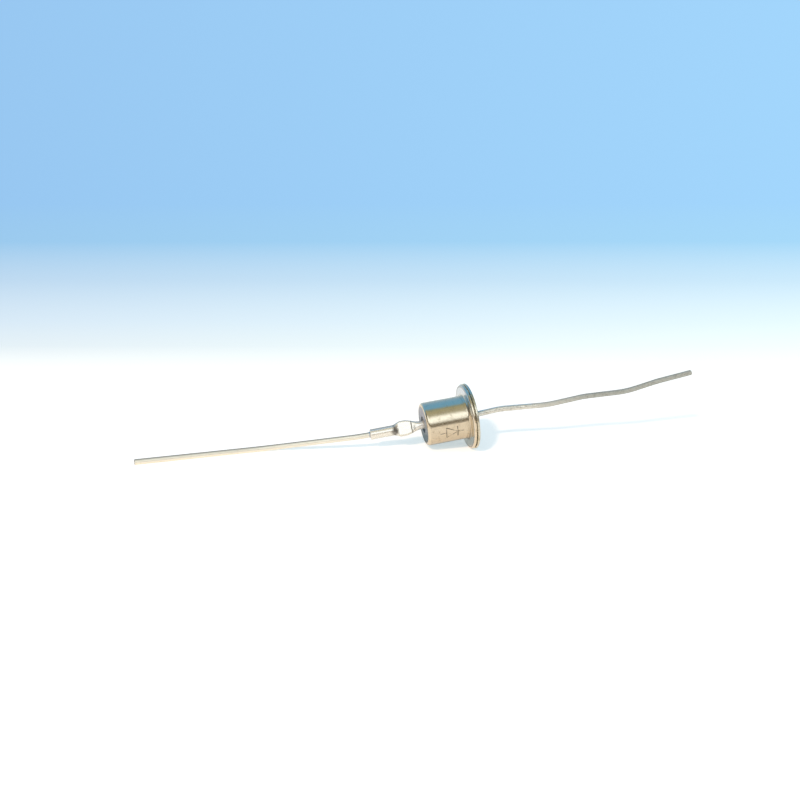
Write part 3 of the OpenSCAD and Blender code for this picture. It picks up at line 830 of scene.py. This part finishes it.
# %% Helpers for Geometry Nodes
def new_geometry_tree(name, inputs):
    """A geometry tree with a geometry input and output, and named number inputs with defaults."""
    tree = bpy.data.node_groups.new(name, "GeometryNodeTree")
    tree.interface.new_socket("Geometry", in_out="INPUT", socket_type="NodeSocketGeometry")
    kinds = {float: "NodeSocketFloat", int: "NodeSocketInt"}
    for label, value in inputs.items():
        made = tree.interface.new_socket(label, in_out="INPUT", socket_type=kinds[type(value)])
        made.default_value = value
    tree.interface.new_socket("Geometry", in_out="OUTPUT", socket_type="NodeSocketGeometry")
    return tree, tree.nodes.new("NodeGroupInput").outputs, tree.nodes.new("NodeGroupOutput")


def live(sockets, name):
    """The socket of that name that is in use. Some nodes hide others under the same name."""
    return next(socket for socket in sockets if socket.name == name and socket.enabled)


def realized(tree, geometry, material, result):
    """Ends a tree: real geometry with its material, because the export drops instances."""
    whole = add_node(tree, "GeometryNodeRealizeInstances", Geometry=geometry)
    dressed = add_node(tree, "GeometryNodeSetMaterial", Geometry=whole.outputs[0], Material=material)
    tree.links.new(dressed.outputs[0], result.inputs[0])


print("geometry helpers ready")

# %% Helpers that finish a piece
def finished(name, mesh, material):
    """Turns a mesh into a smooth piece of the diode with its material."""
    if material.name not in mesh.materials:
        mesh.materials.clear()
        mesh.materials.append(material)
    for face in mesh.polygons:
        face.use_smooth = True
    piece = bpy.data.objects.new(name, mesh)
    bpy.context.scene.collection.objects.link(piece)
    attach(piece, "root")
    print(name, "has", len(mesh.polygons), "faces")


def baked(carrier, tree, values, name, material, placing=None):
    """Runs a tree on a carrier object and keeps the result as a plain, placed mesh."""
    modifier = carrier.modifiers.new("build", "NODES")
    modifier.node_group = tree
    sockets = {item.name: item.identifier for item in tree.interface.items_tree if item.in_out == "INPUT"}
    for label, value in values.items():
        modifier[sockets[label]] = value
    bpy.context.scene.collection.objects.link(carrier)
    evaluated = carrier.evaluated_get(bpy.context.evaluated_depsgraph_get())
    mesh = bpy.data.meshes.new_from_object(evaluated)
    carrier.modifiers.remove(modifier)
    bpy.data.objects.remove(carrier)
    if placing:
        mesh.transform(placing)
    finished(name, mesh, material)


print("a finished piece rides on the diode's one body")

# %% Lay the coat's route and mix its solder
CATHODE_L = 35.3
# Bends of the wire: share of its length, then sideways and above the axis in mm.
WIRE_BENDS = [(0.0, 0.0, 0.0), (0.133, 0.0, 0.2), (0.347, -0.4, -0.42), (0.51, -0.8, -0.03)]

dipped_solder = plated_metal("dipped_solder", (0.86, 0.83, 0.72), (0.42, 0.39, 0.31), cover=0.42,
                             rough=(0.26, 0.5), grain=3000.0, dent=0.008, dent_scale=1500.0,
                             speckle=0.006, metallic=0.75)
coat_route = [by_axis(BACK_AT + share * CATHODE_L, side, rise) for share, side, rise in WIRE_BENDS]
route_curve = bpy.data.curves.new("coat_route", "CURVE")
route_curve.dimensions = "3D"
spline = route_curve.splines.new("POLY")
spline.points.add(len(coat_route) - 1)
for point, at in zip(spline.points, coat_route):
    point.co = (*at, 1.0)
print("the route has", len(coat_route), "corners")

# %% Round and trim the coat's route
LEAD_R, BEND_R = 0.4, 14.0
COAT_FROM, COAT_TO, RUN_OUT = 0.35, 12.4, 6.0
COAT_THICK, LUMP_HEIGHT, COAT_SEED = 0.03, 0.06, 4.0
BEND_STEPS, SIDES, STEP = 16, 28, 0.07

tree, given, result = new_geometry_tree("solder_coat", {
    "Wire Radius": LEAD_R * MM, "Bend Radius": BEND_R * MM, "From": COAT_FROM * MM,
    "To": COAT_TO * MM, "Thickness": COAT_THICK * MM, "Lump Height": LUMP_HEIGHT * MM,
    "Run Out": RUN_OUT * MM, "Seed": COAT_SEED})
rounded = add_node(tree, "GeometryNodeFilletCurve", {"mode": "POLY"}, Curve=given["Geometry"],
                   Count=BEND_STEPS, Radius=given["Bend Radius"], Limit_Radius=True)
cut = add_node(tree, "GeometryNodeTrimCurve", {"mode": "LENGTH"}, _0=rounded.outputs[0])
tree.links.new(given["From"], live(cut.inputs, "Start"))
tree.links.new(given["To"], live(cut.inputs, "End"))
fine_line = add_node(tree, "GeometryNodeResampleCurve", {"mode": "LENGTH"},
                     Curve=cut.outputs[0], Length=STEP * MM)
ring = add_node(tree, "GeometryNodeCurvePrimitiveCircle", Resolution=SIDES)
tree.links.new(maths(tree, "ADD", given["Wire Radius"], given["Thickness"]), live(ring.inputs, "Radius"))
print("the coat is", round(COAT_TO - COAT_FROM, 2), "mm long, in steps of", STEP)

# %% Sweep the skin and raise its lumps
LUMP_MIDDLE, LUMP_SCALE = 0.52, 1500.0
SINK = 1.5

spot = add_node(tree, "GeometryNodeSplineParameter")
left = maths(tree, "SUBTRACT", maths(tree, "SUBTRACT", given["To"], given["From"]), spot.outputs["Length"])
kept = add_node(tree, "GeometryNodeCaptureAttribute", {"domain": "POINT"}, Geometry=fine_line.outputs[0])
kept.capture_items.new("FLOAT", "Share Left")
tree.links.new(maths(tree, "DIVIDE", left, given["Run Out"], clamp=True), kept.inputs["Share Left"])
skin = add_node(tree, "GeometryNodeCurveToMesh", Curve=kept.outputs["Geometry"],
                Profile_Curve=ring.outputs[0], Fill_Caps=True)
lumps = add_node(tree, "ShaderNodeTexNoise", {"noise_dimensions": "4D"}, W=given["Seed"],
                 Scale=LUMP_SCALE, Detail=3.0, Roughness=0.55)
raised = maths(tree, "MULTIPLY", maths(tree, "SUBTRACT", lumps.outputs["Fac"], LUMP_MIDDLE),
               given["Lump Height"])
sunk = maths(tree, "MULTIPLY", maths(tree, "SUBTRACT", kept.outputs["Share Left"], 1.0),
             maths(tree, "MULTIPLY", given["Thickness"], SINK))
offset = add_node(tree, "ShaderNodeVectorMath", {"operation": "SCALE"},
                  _0=add_node(tree, "GeometryNodeInputNormal").outputs[0],
                  Scale=maths(tree, "ADD", raised, sunk))
lumpy = add_node(tree, "GeometryNodeSetPosition", Geometry=skin.outputs[0], Offset=offset.outputs[0])
realized(tree, lumpy.outputs[0], dipped_solder, result)
baked(bpy.data.objects.new("coat_route", route_curve), tree, {"Seed": COAT_SEED},
      "solder_coat", dipped_solder)

# %% [markdown]
# ## Weld metal round the rim
#
# Flange and header are projection-welded: a rib on the header melts and a little
# metal is squeezed into the groove between the rims. It freezes as a row of small
# flattened beads of uneven size. Placing each by hand would be slow, so they are
# instances on the points of a circle, and chance leaves some out.

# %% Scatter the weld beads
GROOVE_R, GROOVE_MIDDLE = 4.72, 0.05
BEAD_R, BEAD_PLACES, BEADS_KEPT, BEAD_SEED = 0.07, 96, 0.55, 7
SMALLEST_BEAD, LARGEST_BEAD = (0.7, 0.8, 0.5), (1.4, 2.6, 0.95)

tree, given, result = new_geometry_tree("weld_beads", {
    "Ring Radius": GROOVE_R * MM, "Bead Radius": BEAD_R * MM, "Count": BEAD_PLACES,
    "Kept Share": BEADS_KEPT, "Seed": BEAD_SEED})
circle = add_node(tree, "GeometryNodeCurvePrimitiveCircle", Resolution=given["Count"])
tree.links.new(given["Ring Radius"], live(circle.inputs, "Radius"))
bead = add_node(tree, "GeometryNodeMeshIcoSphere", Radius=given["Bead Radius"], Subdivisions=2)
chosen = add_node(tree, "FunctionNodeRandomValue", {"data_type": "BOOLEAN"})
tree.links.new(given["Kept Share"], live(chosen.inputs, "Probability"))
size = add_node(tree, "FunctionNodeRandomValue", {"data_type": "FLOAT_VECTOR"})
live(size.inputs, "Min").default_value = SMALLEST_BEAD
live(size.inputs, "Max").default_value = LARGEST_BEAD
for random_value in (chosen, size):
    tree.links.new(given["Seed"], live(random_value.inputs, "Seed"))
points = add_node(tree, "GeometryNodeCurveToPoints", {"mode": "EVALUATED"}, Curve=circle.outputs[0])
beads = add_node(tree, "GeometryNodeInstanceOnPoints", Points=points.outputs["Points"],
                 Instance=bead.outputs[0], Selection=live(chosen.outputs, "Value"),
                 Rotation=points.outputs["Rotation"], Scale=live(size.outputs, "Value"))
realized(tree, beads.outputs[0], header_plating, result)

lay_down = Matrix((axis_up, axis_way.cross(axis_up), axis_way)).transposed().to_4x4()
baked(bpy.data.objects.new("bead_ring", bpy.data.meshes.new("bead_ring")), tree, {"Seed": BEAD_SEED},
      "weld_beads", header_plating, Matrix.Translation(by_axis(GROOVE_MIDDLE)) @ lay_down)

# %% [markdown]
# ## Solder fillets
#
# Solder that wets two parts climbs both and leaves a hollow fillet. There is one
# where the lead enters the tube's mouth and one round the foot of the cathode weld.
# Each is a short profile turned round the case's axis. A Screw modifier would turn
# it perfectly round; here each step is placed in the script, so that the radius can
# wobble a little, as solder does.

# %% Turn the fillets
TURN_SIDES = 48
WOBBLE_REACH, WOBBLE_SLICE = 3, 0.5
TUBE_L = 8.1
# Each point is the distance past the place where the fillet sits, and the radius.
MOUTH_FILLET = [(0.20, 0.30), (0.20, 0.45), (0.06, 0.47), (-0.02, 0.455),
                (-0.10, 0.42), (-0.20, 0.403), (-0.24, 0.38), (-0.22, 0.30)]
ROOT_FILLET = [(-0.05, 0.60), (-0.05, 1.16), (0.02, 1.10), (0.07, 0.90), (0.16, 0.79),
               (0.20, 0.75), (0.20, 0.60)]


def turned(profile, sits_at, wobble):
    """A closed ring of (along, radius) points in mm, turned round the case's axis."""
    mesh = bmesh.new()
    rings = []
    for step in range(TURN_SIDES):
        angle = 2 * math.pi * step / TURN_SIDES
        spot = Vector((WOBBLE_REACH * math.cos(angle), WOBBLE_REACH * math.sin(angle), WOBBLE_SLICE))
        grow = 1.0 + wobble * noise.noise(spot)
        rings.append([mesh.verts.new(by_axis(sits_at + along, radius * grow * math.cos(angle),
                                             radius * grow * math.sin(angle)))
                      for along, radius in profile])
    for step in range(TURN_SIDES):
        here, there = rings[step], rings[(step + 1) % TURN_SIDES]
        for k in range(len(profile)):
            after = (k + 1) % len(profile)
            mesh.faces.new((here[k], here[after], there[after], there[k]))
    bmesh.ops.recalc_face_normals(mesh, faces=mesh.faces)
    made = bpy.data.meshes.new("turned")
    mesh.to_mesh(made)
    mesh.free()
    return made


finished("mouth_solder", turned(MOUTH_FILLET, END_FACE_AT - TUBE_L, wobble=0.05), solder_grey)
finished("root_solder", turned(ROOT_FILLET, BACK_AT, wobble=0.10), dipped_solder)
